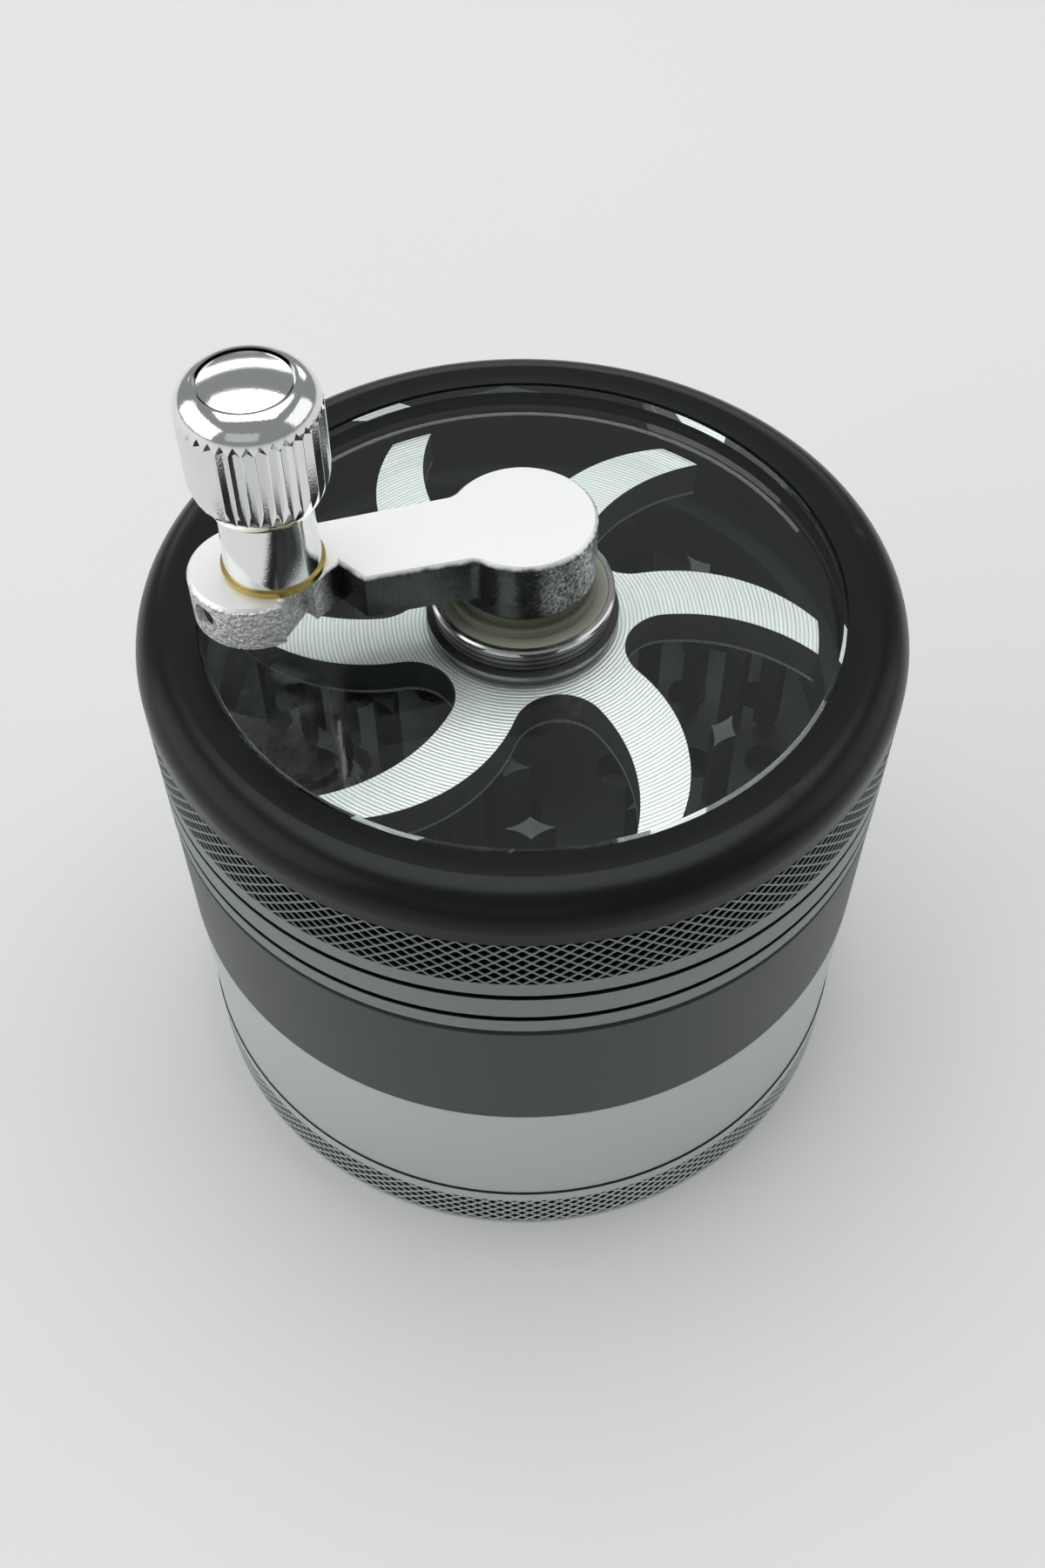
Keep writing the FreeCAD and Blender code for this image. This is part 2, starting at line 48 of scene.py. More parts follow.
# One socket of a node tree, so that shader maths reads as plain expressions
class Wire:
    def __init__(self, tree, socket=None):
        self.tree = tree
        self.socket = socket

    # kind of node, its settings, the values or links of its inputs, and the output to go on from
    def add(self, kind, settings=None, inputs=None, out=0):
        node = self.tree.nodes.new("ShaderNode" + kind)
        for name, value in (settings or {}).items():
            setattr(node, name, value)
        for name, value in (inputs or {}).items():
            if isinstance(value, Wire):
                self.tree.links.new(value.socket, node.inputs[name])
            else:
                node.inputs[name].default_value = value
        return Wire(self.tree, node.outputs[out])

    def maths(self, operation, first, second=0.0):
        return self.add("Math", {"operation": operation}, {0: first, 1: second})

    def __add__(self, other):
        return self.maths("ADD", self, other)

    def __radd__(self, other):
        return self.maths("ADD", other, self)

    def __sub__(self, other):
        return self.maths("SUBTRACT", self, other)

    def __rsub__(self, other):
        return self.maths("SUBTRACT", other, self)

    def __mul__(self, other):
        return self.maths("MULTIPLY", self, other)

    def __rmul__(self, other):
        return self.maths("MULTIPLY", other, self)

    def __pow__(self, other):
        return self.maths("POWER", self, other)

    def clamped(self):
        return self.maths("MINIMUM", self.maths("MAXIMUM", self, 0.0), 1.0)

    # 0 below low, 1 above high, straight between
    def ramped(self, low, high):
        return self.add("MapRange", {"clamp": True}, {0: self, 1: low, 2: high, 3: 0.0, 4: 1.0})

    # the sine of this value, brought to 0..1
    def waved(self):
        return self.maths("SINE", self) * 0.5 + 0.5

    def noise(self, scale, detail=3.0, rough=0.55, stretch=(1.0, 1.0, 1.0)):
        place = self.add("Mapping", {}, {"Vector": self, "Scale": stretch})
        return self.add("TexNoise", {}, {"Vector": place, "Scale": scale, "Detail": detail,
                                         "Roughness": rough})

    # two colours, plain or wired, mixed by this value
    def tint(self, dark, light):
        ends = [end if isinstance(end, Wire) else rgb(end) for end in (dark, light)]
        return self.add("Mix", {"data_type": "RGBA"}, {"Factor": self, 6: ends[0], 7: ends[1]}, 2)


def rgb(colour):
    return tuple(colour) + (1.0,)


# New material with its Principled node, its constant sockets set, and the Object coordinates
def newFinish(name, metallic=0.0, roughness=0.5, **plain):
    material = bpy.data.materials.new(name)
    material.use_nodes = True
    tree = material.node_tree
    shader = tree.nodes["Principled BSDF"]
    shader.inputs["Metallic"].default_value = metallic
    shader.inputs["Roughness"].default_value = roughness
    for key, value in plain.items():
        shader.inputs[key.replace("_", " ")].default_value = value
    place = Wire(tree).add("TexCoord", {}, {}, "Object")
    return material, shader, place


def join(shader, name, wire):
    wire.tree.links.new(wire.socket, shader.inputs[name])


def bump(shader, height, strength, depth):
    join(shader, "Normal",
         height.add("Bump", {}, {"Height": height, "Strength": strength, "Distance": depth}))


# Radius from the grinder's axis and height, in millimetres
def polar(place):
    level = (mmPerMetre, mmPerMetre, 0.0)
    flat = place.add("VectorMath", {"operation": "MULTIPLY"}, {0: place, 1: level})
    radius = flat.add("VectorMath", {"operation": "LENGTH"}, {0: flat}, "Value")
    height = place.add("SeparateXYZ", {}, {0: place}, "Z") * mmPerMetre
    return radius, height


# Corners of a node's box, in millimetres
def boxOf(nodeName):
    low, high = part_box(nodeName)
    return np.array(low) * mmPerMetre, np.array(high) * mmPerMetre


# Levels and radii that several finishes and pieces share, from the frame
bodyRadius = boxOf("lid_ring")[1][0]
lidLow = boxOf("lid_ring")[0][2]
baseHigh = boxOf("base_cup")[1][2]
cutterLow, cutterHigh = boxOf("cutter")[0][2], boxOf("cutter")[1][2]
crankHigh = boxOf("crank_arm")[1][2]
windowHigh = boxOf("window")[1][2]
baseKnurlBand = (0.55, 4.9)    # chosen, not from the frame: foot and head of the base's knurl
print("body radius", round(bodyRadius, 2), "lid from", round(lidLow, 2))


# A grid of points as a mesh. It wraps round in either direction, and may have its first and last
# rows filled by quads that fold an even row on itself.
def gridPiece(name, points, closeRows=False, closeColumns=False, capRows=False, smooth=False):
    rows, columns = points.shape[:2]
    index = np.arange(rows * columns).reshape(rows, columns)
    first, last = index[0], index[-1]
    if closeRows:
        index = np.vstack([index, index[:1]])
    if closeColumns:
        index = np.hstack([index, index[:, :1]])
    quads = np.stack([index[1:, :-1], index[1:, 1:], index[:-1, 1:], index[:-1, :-1]], -1)
    quads = quads.reshape(-1, 4)
    if capRows:
        step = np.arange(columns // 2 - 1)
        fold = np.stack([step, step + 1, columns - 2 - step, columns - 1 - step], -1)
        quads = np.concatenate([quads, last[fold][:, ::-1], first[fold]])
    return meshPiece(name, points.reshape(-1, 3), quads, smooth)


# Points in millimetres and faces that all have as many corners
def meshPiece(name, points, faces, smooth=False):
    mesh = bpy.data.meshes.new(name)
    mesh.vertices.add(len(points))
    mesh.vertices.foreach_set("co", (points / mmPerMetre).astype(np.float32).ravel())
    mesh.loops.add(faces.size)
    mesh.loops.foreach_set("vertex_index", faces.astype(np.int32).ravel())
    mesh.polygons.add(len(faces))
    starts = np.arange(0, faces.size, faces.shape[1], dtype=np.int32)
    mesh.polygons.foreach_set("loop_start", starts)
    mesh.polygons.foreach_set("use_smooth", np.full(len(faces), smooth))
    mesh.update(calc_edges=True)
    mesh.validate()
    piece = bpy.data.objects.new(name, mesh)
    bpy.context.collection.objects.link(piece)
    return piece


def fit(piece, body, finish):
    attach(piece, body)
    piece.data.materials.append(finish)


# Fine-blasted anodised metal: soft grain, faint clouding
satinLook = {"cloud": 55.0, "cloudShare": 0.6, "speck": 7200.0, "speckShare": 0.4, "swing": 0.1,
             "bump": 0.06, "bumpDepth": 0.0001}


def satinFinish(name, dark, light, metallic, roughness):
    look = satinLook
    material, shader, place = newFinish(name, metallic, roughness)
    cloud = place.noise(look["cloud"], 3.0)
    speck = place.noise(look["speck"], 2.0)
    mottle = cloud * look["cloudShare"] + speck * look["speckShare"]
    join(shader, "Base Color", mottle.tint(dark, light))
    join(shader, "Roughness", roughness - look["swing"] / 2 + cloud * look["swing"])
    bump(shader, speck, look["bump"], look["bumpDepth"])
    return material


# Lid: black finish, with the outer surface skimmed back to bare metal between the grooves. The
# foot and all that lies deeper than the skim stay black.
lidLook = {"skim": 0.06, "skimBlur": 0.03, "foot": 0.65, "footBlur": 0.03, "rimFoot": 12.8,
           "rimBlur": 0.02, "specular": 0.22, "sheen": (0.9, 1.0, 0.94),
           "bareDark": (0.17, 0.184, 0.182), "bareLight": (0.28, 0.3, 0.297),
           "blackDark": (0.0035, 0.004, 0.0042), "blackLight": (0.008, 0.0088, 0.009),
           "cloud": 60.0, "cloudShare": 0.5, "turning": 40.0, "turningShare": 0.5,
           "turningStretch": (1.0, 1.0, 160.0), "metallic": 0.85,
           "rough": 0.26, "roughBare": 0.08, "roughCloud": 0.06, "roughFoot": 0.4,
           "bump": 0.08, "bumpDepth": 0.00005}


def lidFinish():
    look = lidLook
    material, shader, place = newFinish("lidBlackAndBare", Specular_IOR_Level=look["specular"])
    shader.inputs["Specular Tint"].default_value = rgb(look["sheen"])
    radius, height = polar(place)
    surface = bodyRadius - look["skim"]
    rimLow, footHigh = lidLow + look["rimFoot"], lidLow + look["foot"]
    skimmed = radius.ramped(surface - look["skimBlur"], surface)
    below = 1 - height.ramped(rimLow - look["rimBlur"], rimLow)
    above = height.ramped(footHigh, footHigh + look["footBlur"])
    bare = skimmed * below * above
    cloud = place.noise(look["cloud"], 3.0)
    turning = place.noise(look["turning"], 2.0, 0.5, look["turningStretch"])
    black = cloud.tint(look["blackDark"], look["blackLight"])
    mottle = cloud * look["cloudShare"] + turning * look["turningShare"]
    metal = mottle.tint(look["bareDark"], look["bareLight"])
    join(shader, "Base Color", bare.tint(black, metal))
    join(shader, "Metallic", bare * look["metallic"])
    join(shader, "Roughness", bare * look["roughBare"] + look["rough"] + cloud * look["roughCloud"]
         + (1 - above) * look["roughFoot"])
    bump(shader, turning * bare, look["bump"], look["bumpDepth"])
    return material


# Cutter: bright turned top with rings about the axis, sides painted dark for the dark reflection and
# shade they show, a painted highlight along the lower edge
cutterLook = {"rings": 3.0, "waver": 260.0, "waverTurn": 4.0, "bands": 2.6,
              "ringShare": 0.7, "bandShare": 0.6, "shift": 0.05,
              "dark": (0.40, 0.41, 0.405), "light": (0.98, 0.985, 0.98),
              "top": (0.06, 0.02), "edge": 0.34, "edgeBlur": 0.05, "sideGrain": 500.0,
              # side colours: painted dark, for the dark reflection and shade on the sides
              "shadedSideDark": (0.075, 0.084, 0.082), "shadedSideLight": (0.13, 0.142, 0.138),
              "metallic": 0.75, "rough": 0.34, "roughBand": 0.12, "bump": 0.5,
              "bumpDepth": 0.00003}


def cutterFinish():
    look = cutterLook
    material, shader, place = newFinish("turnedCutter", look["metallic"], look["rough"])
    radius, height = polar(place)
    waver = place.noise(look["waver"], 2.0) * look["waverTurn"]
    ring = (radius * (look["rings"] * 2 * math.pi) + waver).waved()
    band = place.add("CombineXYZ", {}, {0: radius, 1: 0.0, 2: 0.0}).noise(look["bands"], 4.0, 0.7)
    topLow, topFull = (cutterHigh - depth for depth in look["top"])
    face = height.ramped(topLow, topFull)
    # painted highlight: a thin band at the lower edge takes the top's bright colour
    highlightHigh = cutterLow + look["edge"]
    line = 1 - height.ramped(highlightHigh - look["edgeBlur"], highlightHigh)
    turned = ring ** 0.5 * look["ringShare"] + band * look["bandShare"] - look["shift"]
    top = turned.clamped().tint(look["dark"], look["light"])
    # painted dark reflection and shade on the sides
    side = place.noise(look["sideGrain"], 3.0).tint(look["shadedSideDark"], look["shadedSideLight"])
    join(shader, "Base Color", (face + line).clamped().tint(side, top))
    join(shader, "Roughness", look["rough"] + band * look["roughBand"])
    bump(shader, ring * face, look["bump"], look["bumpDepth"])
    return material


# Plated casting: dull sides darkened by painted shade, pebbled round the eye and on the hub's right
# and painted lighter there as where light falls, with painted shade in the grain's pits and painted
# glints on its peaks, worn smooth over the top and painted bright there as lit from above. From the
# axis, the hub's painted light runs to the right and the eye's to the left.
castLook = {"grain": 3000.0, "speckleFrom": (0.38, 0.6), "swell": 900.0, "drift": 180.0,
            "driftReach": 5.0, "shade": 220.0, "shadeFrom": (0.3, 0.7), "shadeShare": 0.75,
            "swellShare": 0.25,
            # side colours: dull cast, darkened further by painted shade for the dark surroundings
            # the sides reflect
            "dullAndShaded": (0.07, 0.075, 0.073), "dullAndShadedLight": (0.15, 0.157, 0.154),
            # pit and peak colours: painted shade in the grain's pits and painted glints on its
            # peaks; the eye's pair is painted lighter as lit, and the top is painted bright as lit
            # from above
            "shadedPit": (0.10, 0.105, 0.102), "glintPeak": (0.80, 0.81, 0.80),
            "eyeShadedPit": (0.58, 0.59, 0.585), "eyeGlintPeak": (0.97, 0.975, 0.97),
            "top": (0.96, 0.965, 0.96), "hubLitFrom": (0.5, 4.5), "eyeLitFrom": (14.3, 15.3),
            "edge": 0.3, "edgeFull": 0.09, "ragged": 0.4, "painted": 0.45,
            "rough": 0.24, "roughTop": 0.14, "roughSwell": 0.06,
            "bumpPebbled": 0.85, "bumpDull": 0.12, "bumpSwell": 0.3, "wornFlat": 0.97,
            "bumpDepth": 0.0003}


def castFinish():
    look = castLook
    material, shader, place = newFinish("platedCasting", 1.0, look["rough"])
    _, height = polar(place)
    across = place.add("SeparateXYZ", {}, {0: place}, "X") * mmPerMetre
    grain = place.noise(look["grain"], 2.0, 0.6)
    swell = place.noise(look["swell"], 3.0, 0.6)
    drift = across + (place.noise(look["drift"], 2.0) - 0.5) * look["driftReach"]
    # painted light: the eye and the hub's right side are painted lighter, as where the light falls
    eye = (0 - across).ramped(*look["eyeLitFrom"])
    pebbledAndLit = (drift.ramped(*look["hubLitFrom"]) + eye).clamped()
    ragged = height + (swell - 0.5) * look["ragged"]
    # the top face: really worn smooth, and also painted bright as lit from above
    wornAndLitTop = ragged.ramped(crankHigh - look["edge"], crankHigh - look["edgeFull"])
    # painted shade in the grain's pits and painted glints on its peaks
    speckle = grain.ramped(*look["speckleFrom"])
    rough = eye.tint(speckle.tint(look["shadedPit"], look["glintPeak"]),
                     speckle.tint(look["eyeShadedPit"], look["eyeGlintPeak"]))
    patch = place.noise(look["shade"], 2.0).ramped(*look["shadeFrom"])
    shade = patch * look["shadeShare"] + swell * look["swellShare"]
    # painted shade: the dull sides are darkened
    side = pebbledAndLit.tint(shade.tint(look["dullAndShaded"], look["dullAndShadedLight"]), rough)
    join(shader, "Base Color", wornAndLitTop.tint(side, look["top"]))
    join(shader, "Metallic", 1 - (wornAndLitTop + eye).clamped() * look["painted"])
    join(shader, "Roughness", wornAndLitTop * look["roughTop"] + look["rough"] + swell * look["roughSwell"])
    strength = (pebbledAndLit * look["bumpPebbled"] + look["bumpDull"]) * (1 - wornAndLitTop * look["wornFlat"])
    bump(shader, grain + swell * look["bumpSwell"], strength, look["bumpDepth"])
    return material


# Collar and nut of the window clamp: polished above the window, fine dull rings below it
collarLook = {"ring": 0.95, "dark": (0.05, 0.048, 0.046), "light": (0.33, 0.325, 0.32),
              "rim": (0.66, 0.66, 0.655), "blur": 0.02, "rough": 0.46, "polish": 0.32,
              "grain": 700.0, "roughGrain": 0.06, "bump": 0.2, "bumpDepth": 0.0001}


def collarFinish():
    look = collarLook
    material, shader, place = newFinish("ringedCollar", 1.0, look["rough"])
    _, height = polar(place)
    rings = (height * (2 * math.pi / look["ring"])).waved()
    above = height.ramped(windowHigh - look["blur"], windowHigh + look["blur"])
    join(shader, "Base Color", above.tint(rings.tint(look["dark"], look["light"]), look["rim"]))
    grain = place.noise(look["grain"], 2.0)
    join(shader, "Roughness", look["rough"] - above * look["polish"] + grain * look["roughGrain"])
    bump(shader, rings, look["bump"], look["bumpDepth"])
    return material


# Milky nylon: paler towards its rim, darker towards the shaft
nylonLook = {"dark": (0.085, 0.09, 0.052), "light": (0.33, 0.345, 0.27), "paleFrom": (5.2, 7.0),
             "paleShare": 0.8, "cloud": 320.0, "cloudShare": 0.25, "rough": 0.24,
             "roughCloud": 0.1, "scatter": 0.25, "scatterReach": (0.6, 0.6, 0.4),
             "scatterDepth": 0.0015, "coat": 0.2, "grain": 3000.0, "bump": 0.05,
             "bumpDepth": 0.00005}


def nylonFinish():
    look = nylonLook
    material, shader, place = newFinish("milkyNylon", 0.0, look["rough"],
                                        Subsurface_Weight=look["scatter"],
                                        Subsurface_Radius=look["scatterReach"],
                                        Subsurface_Scale=look["scatterDepth"],
                                        Coat_Weight=look["coat"])
    radius, _ = polar(place)
    cloud = place.noise(look["cloud"], 3.0)
    pale = radius.ramped(*look["paleFrom"]) * look["paleShare"] + cloud * look["cloudShare"]
    join(shader, "Base Color", pale.clamped().tint(look["dark"], look["light"]))
    join(shader, "Roughness", look["rough"] + cloud * look["roughCloud"])
    bump(shader, place.noise(look["grain"], 2.0), look["bump"], look["bumpDepth"])
    return material


# Silver sections: soft satin, with painted shade in the knurl's pits and a painted shadow line in
# the joint between the two
silverLook = {"dark": (0.49, 0.54, 0.51), "light": (0.575, 0.625, 0.595),
              # the pit colour paints the shade in the knurl's pits and the shadow in the joint
              "shadedPit": (0.016, 0.018, 0.017), "skim": 0.05, "skimBlur": 0.05, "blur": 0.02,
              "knurlDeep": (0.9, 0.8), "seamShadow": 0.14, "seamBlur": 0.03, "seamDeep": (0.5, 0.45),
              "metallic": 0.55, "rough": 0.36, "roughCloud": 0.1}


def silverFinish():
    look, satin = silverLook, satinLook
    material, shader, place = newFinish("satinSilver", look["metallic"], look["rough"])
    radius, height = polar(place)
    cloud = place.noise(satin["cloud"], 3.0)
    speck = place.noise(satin["speck"], 2.0)
    low, high = baseKnurlBand
    surface = bodyRadius - look["skim"]
    knurled = height.ramped(low, low + look["blur"]) * (1 - height.ramped(high - look["blur"], high))
    # painted shade: the knurl's pits are painted dark
    shadedPit = knurled * (1 - radius.ramped(surface - look["skimBlur"], surface))
    shadedPit = shadedPit * radius.ramped(*(bodyRadius - depth for depth in look["knurlDeep"]))
    off = height - baseHigh
    # painted shadow: a dark line round the joint at the base's top
    seamShadow = 1 - off.maths("ABSOLUTE", off).ramped(look["seamShadow"] - look["seamBlur"], look["seamShadow"])
    seamShadow = seamShadow * radius.ramped(*(bodyRadius - depth for depth in look["seamDeep"]))
    mottle = cloud * satin["cloudShare"] + speck * satin["speckShare"]
    bright = mottle.tint(look["dark"], look["light"])
    join(shader, "Base Color", (shadedPit + seamShadow).clamped().tint(bright, look["shadedPit"]))
    join(shader, "Roughness", look["rough"] + cloud * look["roughCloud"])
    bump(shader, speck, satin["bump"], satin["bumpDepth"])
    return material


# Clear sheet: real refraction, but it lets the lamps through to what lies under it
clearLook = {"colour": (0.94, 0.985, 0.96), "shadow": (0.9, 0.93, 0.92), "index": 1.49,
             "specular": 0.2, "scuff": 70.0, "scuffFrom": (0.55, 0.9), "rough": 0.005,
             "roughScuff": 0.03}


def windowFinish():
    look = clearLook
    material, shader, place = newFinish("clearWindow", 0.0, look["rough"], Transmission_Weight=1.0,
                                        IOR=look["index"], Specular_IOR_Level=look["specular"])
    shader.inputs["Base Color"].default_value = rgb(look["colour"])
    scuff = place.noise(look["scuff"], 4.0).ramped(*look["scuffFrom"])
    join(shader, "Roughness", scuff * look["roughScuff"] + look["rough"])
    tree = material.node_tree
    clear = place.add("BsdfTransparent", {}, {"Color": rgb(look["shadow"])})
    shadowRay = place.add("LightPath", {}, {}, "Is Shadow Ray")
    solid = Wire(tree, shader.outputs[0])
    whole = place.add("MixShader", {}, {0: shadowRay, 1: solid, 2: clear})
    tree.links.new(whole.socket, tree.nodes["Material Output"].inputs["Surface"])
    return material


# Name, dark and light colour, metallic and roughness of each plain satin
satins = {
    "gunmetal": ("gunmetal", (0.040, 0.049, 0.046), (0.060, 0.071, 0.067), 0.5, 0.42),
    # the chamber's floor is darker than its gunmetal walls: painted shade inside the chamber
    "inside": ("chamberInsideShaded", (0.014, 0.017, 0.0165), (0.022, 0.026, 0.025), 0.3, 0.5),
    "teeth": ("toothFaces", (0.045, 0.05, 0.05), (0.075, 0.08, 0.08), 0.5, 0.42),
    "black": ("blackRing", (0.005, 0.0055, 0.006), (0.01, 0.0105, 0.011), 0.0, 0.3),
    "chrome": ("polishedPlate", (0.80, 0.81, 0.80), (0.88, 0.89, 0.88), 1.0, 0.08),
    "steel": ("steel", (0.45, 0.46, 0.46), (0.55, 0.56, 0.56), 1.0, 0.3),
    "brass": ("brass", (0.50, 0.38, 0.11), (0.60, 0.47, 0.17), 1.0, 0.25)}
finishes = {key: satinFinish(*values) for key, values in satins.items()}
finishes["silver"] = silverFinish()
finishes["lid"] = lidFinish()
finishes["cutter"] = cutterFinish()
finishes["casting"] = castFinish()
finishes["collar"] = collarFinish()
finishes["nylon"] = nylonFinish()
finishes["window"] = windowFinish()

nodeFinish = {
    "base_cup": "silver", "collecting_chamber": "silver", "screen_mesh": "steel",
    "screen_clip_ring": "steel", "grinding_chamber": "gunmetal", "grinding_floor": "inside",
    "fixed_teeth": "teeth", "lid_ring": "lid", "window": "window", "window_ring": "black",
    "clamp_collar": "collar", "clamp_nut": "collar", "nylon_bush": "nylon", "cutter": "cutter",
    "cutter_teeth": "teeth", "cutter_washer": "steel", "drive_spindle": "steel",
    "spindle_screw": "steel", "crank_arm": "casting", "grub_screw": "steel",
    "stem_washer": "brass", "knob_stem": "chrome", "knob_pin": "chrome", "knob": "chrome"}
for nodeName, finishName in nodeFinish.items():
    mesh = nodes[nodeName].data
    mesh.materials.clear()
    mesh.materials.append(finishes[finishName])
print("finishes dressed")

# Window disc, stepped below the rim, with a bevel round its face. Its middle closes on the collar,
# inset from the nut's radius.
windowLook = {"name": "windowDisc", "step": 1.4, "lip": 1.4, "bevel": 0.3, "inset": 0.62,
              "around": 240, "sharpDeg": 30}


# The outline's points (radius, height) are carried once round the axis
def windowDisc():
    look = windowLook
    low, high = boxOf("window")
    bore = boxOf("clamp_nut")[1][0] - look["inset"]
    wide, face, stepHigh = high[0], high[0] - look["lip"], low[2] + look["step"]
    outline = np.array([
        (bore, low[2]), (wide, low[2]), (wide, stepHigh), (face, stepHigh),
        (face, high[2] - look["bevel"]), (face - look["bevel"], high[2]), (bore, high[2])])
    angle = np.linspace(0, 2 * math.pi, look["around"], endpoint=False)[:, None]
    points = np.stack([outline[:, 0] * np.cos(angle), outline[:, 0] * np.sin(angle),
                       outline[:, 1] + 0 * angle], -1)
    piece = gridPiece(look["name"], points, closeRows=True, closeColumns=True, smooth=True)
    piece.data.set_sharp_from_angle(angle=math.radians(look["sharpDeg"]))
    fit(piece, "lid", finishes["window"])
    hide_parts("window")


windowDisc()
print("window made")

# Diamond knurl: a raised lattice along two sets of helices, with a sunk pit in each diamond. ridge
# and slope are shares of a cell, skin keeps the ridges just inside the body's radius.
lidKnurl = {"name": "lidKnurl", "low": lidLow + 7.5, "high": lidLow + lidLook["rimFoot"],
            "around": 144, "rows": 4.5, "ridge": 0.085, "slope": 0.1, "proud": 0.39,
            "skin": 0.005, "sunk": 0.3, "body": "lid", "slot": "lid_black", "finish": "lid"}
baseKnurl = {"name": "baseKnurl", "low": baseKnurlBand[0], "high": baseKnurlBand[1],
             "around": 144, "rows": 4.0, "ridge": 0.07, "slope": 0.07, "proud": 0.22,
             "skin": 0.005, "sunk": 0.3, "body": "base", "slot": "satin_silver",
             "finish": "silver"}


# Triangles between two closed rows of as many points
def strip(first, second):
    firstNext, secondNext = np.roll(first, -1), np.roll(second, -1)
    return np.concatenate([np.stack([first, firstNext, second], -1),
                           np.stack([second, firstNext, secondNext], -1)])


# Phases a and b run along the two helices: their mean is the angle in cells, half their
# difference is the height in rows. A point is raised where either phase is near a whole number.
def knurlPiece(look):
    edge, slope = look["ridge"], look["slope"]
    offsets = np.array([-edge, edge, edge + slope, 1 - edge - slope])
    cut = len(offsets)
    columns, rows = cut * look["around"], int(2 * cut * look["rows"])
    b, d = np.meshgrid(np.arange(columns), np.arange(rows + 1), indexing="ij")
    phaseA = (b + d) // cut + offsets[(b + d) % cut]
    phaseB = b // cut + offsets[b % cut]
    raised = ((b + d) % cut < 2) | (b % cut < 2)    # the first two offsets bound a ridge
    angle = (phaseA + phaseB) * math.pi / look["around"]
    rise = (look["high"] - look["low"]) / (2 * look["rows"])
    height = look["low"] + (phaseA - phaseB) * rise
    radius = bodyRadius - look["skin"] - np.where(raised, 0.0, look["proud"])
    sheet = np.stack([radius * np.cos(angle), radius * np.sin(angle), height], -1)
    backRadius = bodyRadius - look["proud"] - look["sunk"]
    back = [np.stack([backRadius * np.cos(angle[:, k]), backRadius * np.sin(angle[:, k]),
                      height[:, k]], -1) for k in (0, rows)]
    index = np.arange(columns * (rows + 1)).reshape(columns, rows + 1)
    after = np.roll(index, -1, 0)
    lower = np.stack([index[:, :-1], after[:, :-1], index[:, 1:]], -1).reshape(-1, 3)
    upper = np.stack([index[:, 1:], after[:, :-1], after[:, 1:]], -1).reshape(-1, 3)
    foot = index.size + np.arange(columns)
    head = foot + columns
    headOver = np.roll(head, rows // 2)    # the head point over each foot point
    faces = np.concatenate([lower, upper, strip(foot, index[:, 0]), strip(index[:, -1], head),
                            strip(headOver, foot)])
    piece = meshPiece(look["name"], np.concatenate([sheet.reshape(-1, 3)] + back), faces)
    fit(piece, look["body"], finishes[look["finish"]])


knurlPiece(lidKnurl)
knurlPiece(baseKnurl)
print("knurl made")

# Screw threads on the three necks: a rounded ridge along a helix, fading at both ends
threadForm = {"pitch": 1.1, "root": 28.3, "crest": 28.58, "sunk": 0.1, "width": 0.62,
              "endWidth": 0.3, "perTurn": 120, "across": 8, "fadeRate": 6, "least": 0.02}
threads = [
    {"name": "collectorThread", "low": 3.2, "high": 5.8, "body": "collector",
     "slot": "satin_silver", "finish": "silver"},
    {"name": "chamberLowThread", "low": 18.1, "high": 20.8, "body": "chamber",
     "slot": "gunmetal", "finish": "gunmetal"},
    {"name": "chamberTopThread", "low": 36.0, "high": 39.2, "body": "chamber",
     "slot": "gunmetal", "finish": "gunmetal"}]


# Across the ridge t runs 0..1: the radius is the sunk root plus the ridge's height times sin(pi t).
# Along it u runs 0..1: the ridge fades in and out, and its middle climbs one pitch each turn.
def threadPiece(look):
    form = threadForm
    length = look["high"] - look["low"]
    turns = length / form["pitch"]
    u, t = np.meshgrid(np.linspace(0, 1, int(turns * form["perTurn"]) + 1),
                       np.linspace(0, 1, form["across"]), indexing="ij")
    fade = np.clip(np.minimum(u, 1 - u) * turns * form["fadeRate"], form["least"], 1)
    angle = u * turns * 2 * math.pi
    low = form["root"] - form["sunk"]
    radius = low + (form["crest"] - low) * fade * np.sin(math.pi * t)
    width = form["width"] * form["pitch"] * (form["endWidth"] + (1 - form["endWidth"]) * fade)
    height = look["low"] + u * length + (t - 0.5) * width
    points = np.stack([radius * np.cos(angle), radius * np.sin(angle), height], -1)
    piece = gridPiece(look["name"], points, closeColumns=True, capRows=True)
    fit(piece, look["body"], finishes[look["finish"]])


for look in threads:
    threadPiece(look)
print("threads made")

# Woven screen in place of the plain disc
weave = {"name": "wovenScreen", "pitch": 1.15, "wire": 0.16, "sides": 4, "perCell": 4,
         "inset": 0.1}


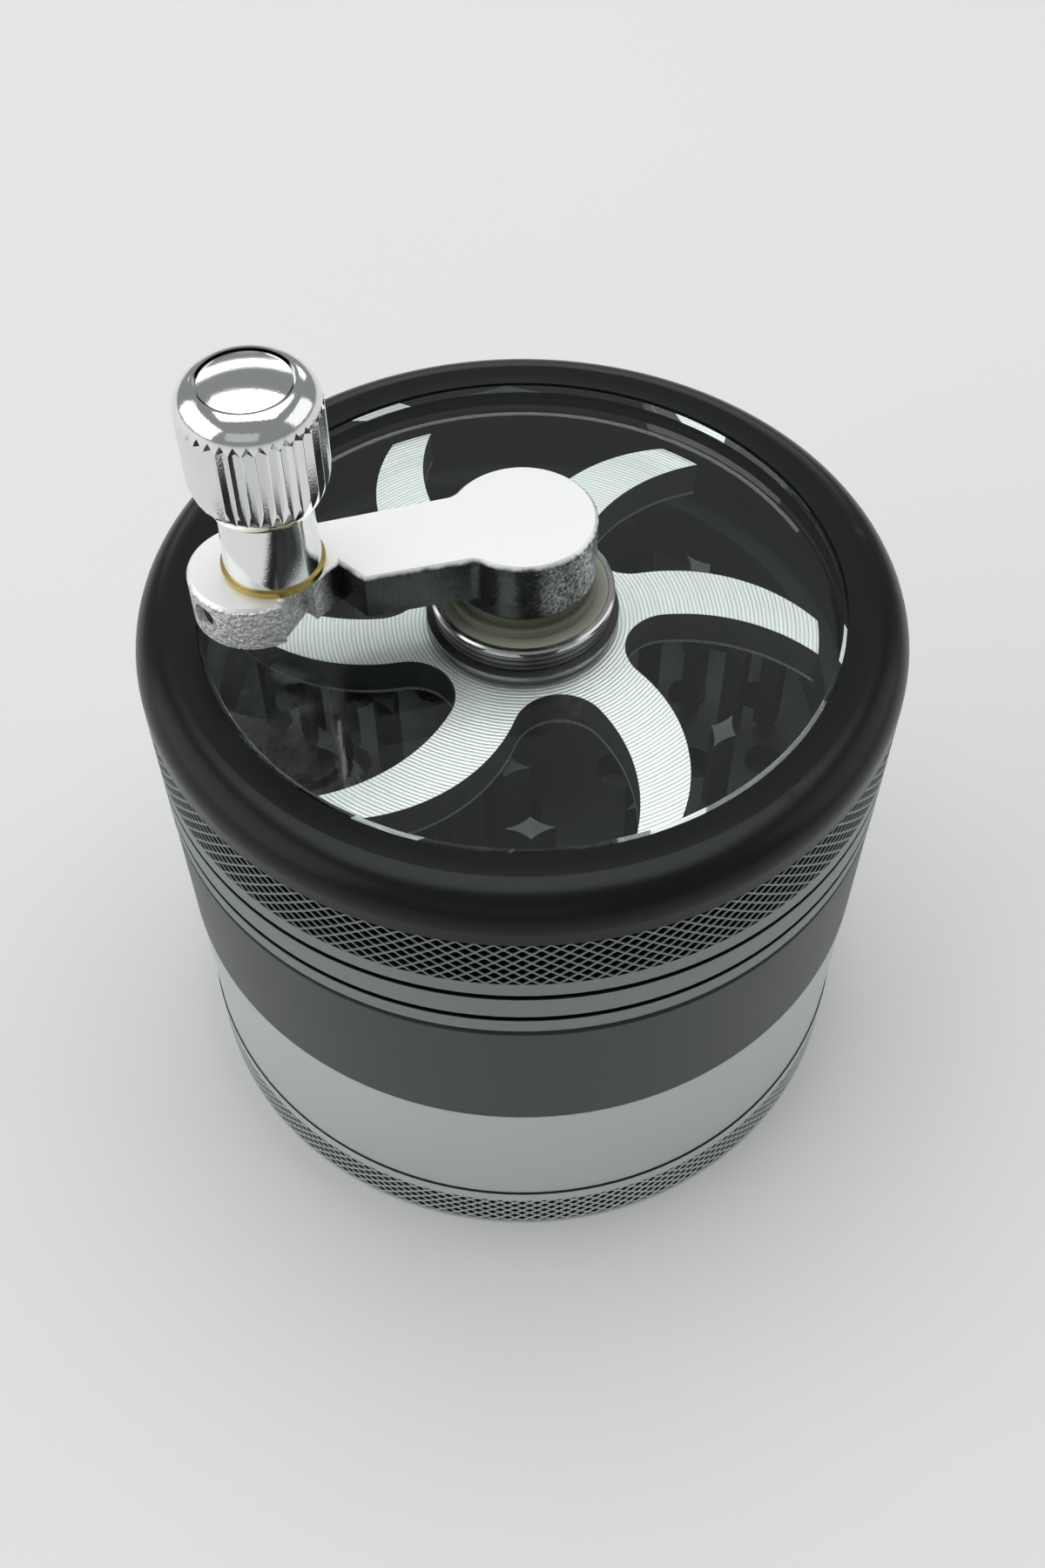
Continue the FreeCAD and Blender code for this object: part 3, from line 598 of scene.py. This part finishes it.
# Each wire is a bent rod: its middle line rises and falls as a cosine of the pitch, opposite to
# its neighbour's, and its length is the chord of the disc at its distance from the middle.
def wovenScreen():
    low, high = boxOf("screen_mesh")
    reach, middle = high[0] - weave["inset"], (low[2] + high[2]) / 2
    swing = (high[2] - low[2] - weave["wire"]) / 2
    count = int(reach / weave["pitch"])
    lines = np.arange(-count, count + 1)
    chord = np.sqrt(reach ** 2 - (lines * weave["pitch"]) ** 2)
    steps = np.linspace(-1, 1, 2 * count * weave["perCell"] + 1)
    turn = np.linspace(0, 2 * math.pi, weave["sides"], endpoint=False) + math.pi / 4
    line, step, spin = np.meshgrid(np.arange(len(lines)), steps, turn, indexing="ij")
    run = step * chord[line]
    place = lines[line] * weave["pitch"] + weave["wire"] / 2 * np.cos(spin)
    side = np.where(lines[line] % 2 == 0, 1, -1)
    wave = np.cos(run / weave["pitch"] * math.pi) * swing * side
    lift = middle + weave["wire"] / 2 * np.sin(spin)
    points = np.concatenate([np.stack([run, place, lift - wave], -1).reshape(-1, 3),
                             np.stack([place, run, lift + wave], -1).reshape(-1, 3)])
    rod = np.arange(len(steps) * weave["sides"]).reshape(len(steps), weave["sides"])
    around = np.roll(rod, -1, 1)
    walls = np.stack([rod[:-1], around[:-1], around[1:], rod[1:]], -1).reshape(-1, 4)
    quads = np.concatenate([walls, np.array([rod[0, ::-1], rod[-1]])])
    starts = np.arange(2 * len(lines)) * rod.size
    piece = meshPiece(weave["name"], points, (quads + starts[:, None, None]).reshape(-1, 4))
    work = bmesh.new()
    work.from_mesh(piece.data)
    bmesh.ops.recalc_face_normals(work, faces=work.faces)
    work.to_mesh(piece.data)
    work.free()
    fit(piece, "collector", finishes["steel"])
    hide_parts("screen_mesh")


wovenScreen()
print("screen woven")

# Floor, sky, lamps and camera
studio = {"floor": (0.78, 0.78, 0.77), "floorShade": 0.97, "floorGrain": 9.0, "floorRough": 0.7,
          "floorSize": 6.0, "sky": (0.62, 0.64, 0.65), "skyStrength": 0.42}
lamps = [
    {"name": "topBox", "place": (0.0, 0.15, 0.9), "target": (0, 0, 0.05), "size": (0.95, 0.75),
     "watts": 5.2},
    {"name": "leftBox", "place": (-0.9, -0.15, 0.45), "target": (0, 0, 0.04), "size": (1.3, 0.8),
     "watts": 4.3},
    {"name": "rightBox", "place": (0.95, 0.1, 0.45), "target": (0, 0, 0.04), "size": (0.9, 0.7),
     "watts": 1.7},
    {"name": "frontFill", "place": (-0.1, -1.0, 0.5), "target": (0, 0, 0.03), "size": (0.9, 0.5),
     "watts": 0.35},
    {"name": "backBox", "place": (-0.1, 1.0, 0.46), "target": (0, 0, 0.06), "size": (1.3, 0.24),
     "watts": 1.6}]
view = {"place": (0.0, -0.09495, 0.14770), "tiltDeg": 38.14, "lens": 37.89, "sensor": 36.0,
        "near": 0.01}


def makeFloor():
    half = studio["floorSize"] / 2
    mesh = bpy.data.meshes.new("floor")
    corners = [(-half, -half, 0), (half, -half, 0), (half, half, 0), (-half, half, 0)]
    mesh.from_pydata(corners, [], [(0, 1, 2, 3)])
    floor = bpy.data.objects.new("floor", mesh)
    bpy.context.collection.objects.link(floor)
    material, shader, place = newFinish("paperFloor", 0.0, studio["floorRough"])
    shade = [part * studio["floorShade"] for part in studio["floor"]]
    join(shader, "Base Color", place.noise(studio["floorGrain"]).tint(shade, studio["floor"]))
    mesh.materials.append(material)


def areaLamp(look):
    lamp = bpy.data.lights.new(look["name"], "AREA")
    lamp.shape = "RECTANGLE"
    lamp.size, lamp.size_y = look["size"]
    lamp.energy = look["watts"]
    holder = bpy.data.objects.new(look["name"], lamp)
    holder.location = look["place"]
    aim = Vector(look["target"]) - Vector(look["place"])
    holder.rotation_euler = aim.to_track_quat("-Z", "Y").to_euler()
    bpy.context.collection.objects.link(holder)


def makeSky():
    world = bpy.data.worlds.new("studio")
    bpy.context.scene.world = world
    world.use_nodes = True
    background = world.node_tree.nodes["Background"]
    background.inputs["Color"].default_value = rgb(studio["sky"])
    background.inputs["Strength"].default_value = studio["skyStrength"]


def makeCamera():
    eye = bpy.data.cameras.new("photoCamera")
    eye.lens, eye.sensor_width = view["lens"], view["sensor"]
    eye.clip_start = view["near"]
    holder = bpy.data.objects.new("photoCamera", eye)
    holder.location = view["place"]
    holder.rotation_euler = (math.radians(view["tiltDeg"]), 0, 0)
    bpy.context.collection.objects.link(holder)
    bpy.context.scene.camera = holder


makeFloor()
for look in lamps:
    areaLamp(look)
makeSky()
makeCamera()
bpy.context.scene.view_settings.view_transform = "Standard"
print("studio ready")
